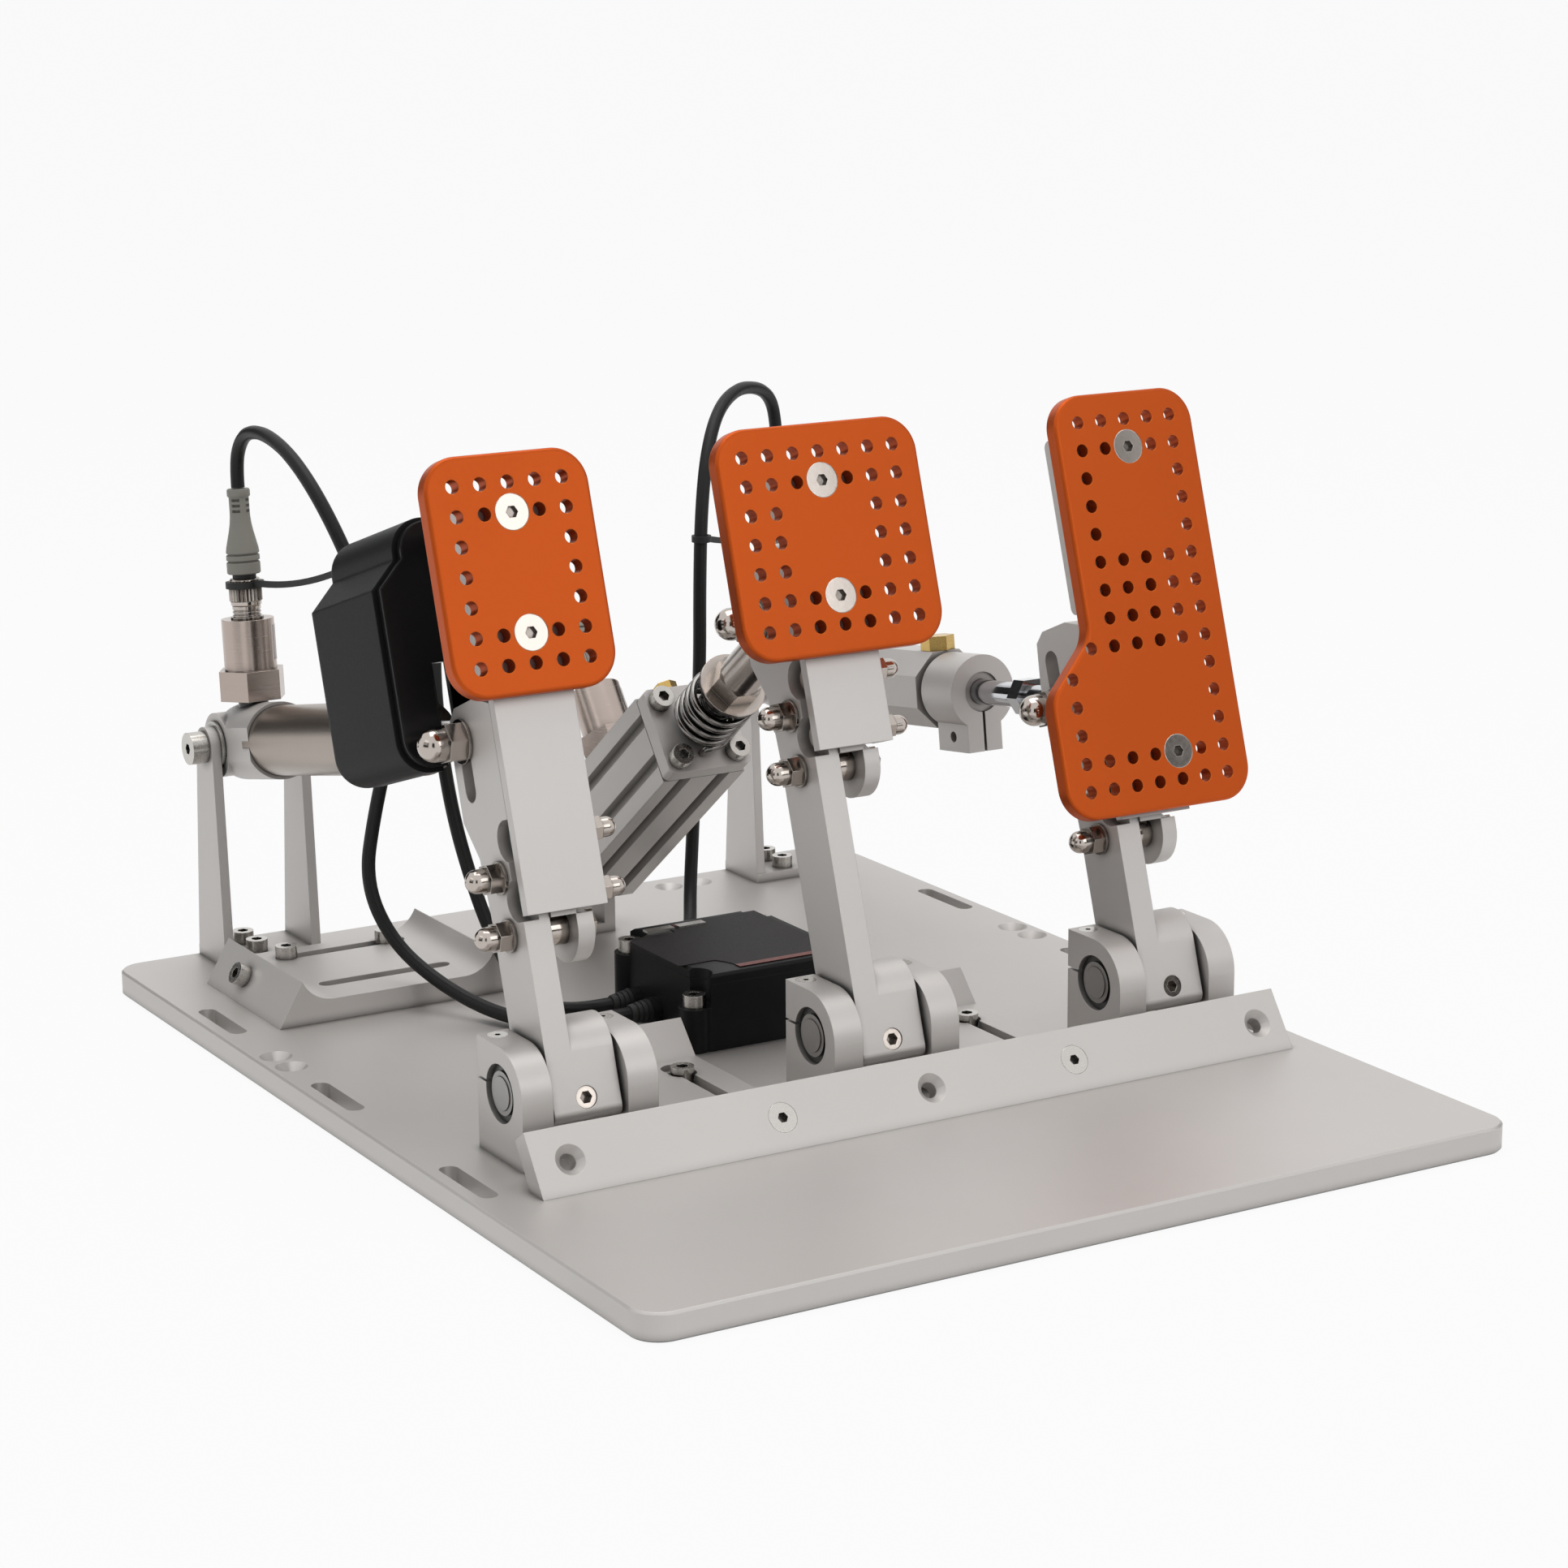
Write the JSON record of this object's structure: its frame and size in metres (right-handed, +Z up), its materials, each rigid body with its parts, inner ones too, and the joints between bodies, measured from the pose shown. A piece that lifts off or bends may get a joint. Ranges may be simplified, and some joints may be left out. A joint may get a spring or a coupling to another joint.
{
  "type": "sim racing pedal set",
  "caption": "Hydraulic-style sim racing pedal set: clutch, brake and throttle arms with orange foot plates on a slotted aluminium base plate, with cylinders, pressure sensors and a control box.",
  "frame": {"origin": "centre of the base plate's underside", "axes": "+X to the driver's right, +Y away from the driver, +Z up"},
  "size_m": [0.35, 0.45, 0.249],
  "materials": {
    "satin_aluminium": "satin silver anodised",
    "orange_anodised": "satin orange anodised",
    "screw_steel": "bright zinc-plated steel",
    "dark_steel": "dark bearing steel",
    "polished_nickel": "polished nickel",
    "brushed_nickel": "brushed nickel plate",
    "black_plastic": "matte black",
    "black_gloss": "glossy black",
    "grey_rubber": "matte dark grey",
    "cable_black": "matte black jacket",
    "brass": "machined brass",
    "spring_steel": "bright spring wire"
  },
  "bodies": {
    "base": {"base_plate": "satin_aluminium", "heel_rail": "satin_aluminium", "rail_screws": "screw_steel", "bearing_blocks": "satin_aluminium", "bearings": "dark_steel", "clamp_screws": "screw_steel", "side_feet": "satin_aluminium", "base_cap_screws": "screw_steel", "rear_sub_base": "satin_aluminium", "clutch_rear_bracket": "satin_aluminium", "throttle_rear_bracket": "satin_aluminium", "brake_rear_bracket": "satin_aluminium", "rear_pivot_bolts": "screw_steel", "control_box": "black_plastic", "control_box_lid": "black_plastic", "control_box_connectors": "screw_steel", "clutch_cable": "cable_black", "brake_cable": "cable_black", "throttle_cable": "cable_black"},
    "clutch_pedal": {"clutch_arm": "satin_aluminium", "clutch_cheek": "satin_aluminium", "clutch_bracket": "satin_aluminium", "clutch_face": "orange_anodised", "clutch_shaft": "screw_steel", "clutch_fasteners": "polished_nickel", "rear_housing": "black_plastic", "rear_housing_lid": "black_gloss", "housing_mounts": "black_plastic"},
    "brake_pedal": {"brake_arm": "satin_aluminium", "brake_cheek": "satin_aluminium", "brake_bracket": "satin_aluminium", "brake_face": "orange_anodised", "brake_shaft": "screw_steel", "brake_fasteners": "polished_nickel"},
    "throttle_pedal": {"throttle_arm": "satin_aluminium", "throttle_cheek": "satin_aluminium", "throttle_bracket": "satin_aluminium", "throttle_face": "orange_anodised", "throttle_shaft": "screw_steel", "throttle_fasteners": "polished_nickel"},
    "clutch_cylinder": {"clutch_tube": "brushed_nickel", "clutch_head": "satin_aluminium", "clutch_sensor": "brushed_nickel", "clutch_plug": "grey_rubber"},
    "clutch_rod": {"clutch_rod": "screw_steel"},
    "brake_cylinder": {"brake_cylinder": "brushed_nickel", "brake_front_plate": "brushed_nickel", "brake_plate_screws": "screw_steel", "brake_bleeder": "brass", "brake_sensor": "brushed_nickel", "brake_plug": "grey_rubber", "brake_spring": "spring_steel"},
    "brake_rod": {"brake_rod": "dark_steel"},
    "throttle_cylinder": {"throttle_cylinder": "satin_aluminium", "throttle_head": "satin_aluminium", "throttle_collar": "brushed_nickel", "throttle_brass": "brass", "throttle_sensor": "brushed_nickel", "throttle_plug": "grey_rubber"},
    "throttle_rod": {"throttle_rod": "polished_nickel"}
  },
  "joints": [
    {"name": "clutch_pedal_hinge", "type": "hinge", "parent": "base", "child": "clutch_pedal", "pos_m": [-0.1205, -0.0705, 0.034], "axis": [-1, 0, 0], "range_deg": [0, 10], "stiffness_Nm_per_rad": 18, "springref_deg": -14.32},
    {"name": "clutch_cylinder_tilt", "type": "hinge", "parent": "base", "child": "clutch_cylinder", "pos_m": [-0.1185, 0.209, 0.1], "axis": [-1, 0, 0], "range_deg": [-1.88, 0]},
    {"name": "clutch_rod_slide", "type": "slide", "parent": "clutch_cylinder", "child": "clutch_rod", "axis": [0, 0.9799, -0.1997], "range_m": [0, 0.02105]},
    {"name": "brake_pedal_hinge", "type": "hinge", "parent": "base", "child": "brake_pedal", "pos_m": [0.004, -0.0705, 0.034], "axis": [-1, 0, 0], "range_deg": [0, 6], "stiffness_Nm_per_rad": 120, "springref_deg": -3.44},
    {"name": "brake_cylinder_tilt", "type": "hinge", "parent": "base", "child": "brake_cylinder", "pos_m": [0.006, 0.175, 0.032], "axis": [-1, 0, 0], "range_deg": [0, 1.18]},
    {"name": "brake_rod_slide", "type": "slide", "parent": "brake_cylinder", "child": "brake_rod", "axis": [0, 0.7953, -0.6062], "range_m": [0, 0.01605], "deforming": ["brake_spring"]},
    {"name": "throttle_pedal_hinge", "type": "hinge", "parent": "base", "child": "throttle_pedal", "pos_m": [0.1285, -0.0705, 0.034], "axis": [-1, 0, 0], "range_deg": [0, 12], "stiffness_Nm_per_rad": 8, "springref_deg": -17.19},
    {"name": "throttle_cylinder_tilt", "type": "hinge", "parent": "base", "child": "throttle_cylinder", "pos_m": [0.1305, 0.209, 0.1], "axis": [-1, 0, 0], "range_deg": [-2.48, 0]},
    {"name": "throttle_rod_slide", "type": "slide", "parent": "throttle_cylinder", "child": "throttle_rod", "axis": [0, 0.9919, -0.1273], "range_m": [0, 0.02084]}
  ],
  "couplings": [
    {"joint": "clutch_cylinder_tilt", "follows": "clutch_pedal_hinge", "ratio": -0.15768},
    {"joint": "clutch_rod_slide", "follows": "clutch_pedal_hinge", "m_per_rad": 0.11775},
    {"joint": "brake_cylinder_tilt", "follows": "brake_pedal_hinge", "ratio": 0.14703},
    {"joint": "brake_rod_slide", "follows": "brake_pedal_hinge", "m_per_rad": 0.14851},
    {"joint": "throttle_cylinder_tilt", "follows": "throttle_pedal_hinge", "ratio": -0.18136},
    {"joint": "throttle_rod_slide", "follows": "throttle_pedal_hinge", "m_per_rad": 0.097114}
  ]
}
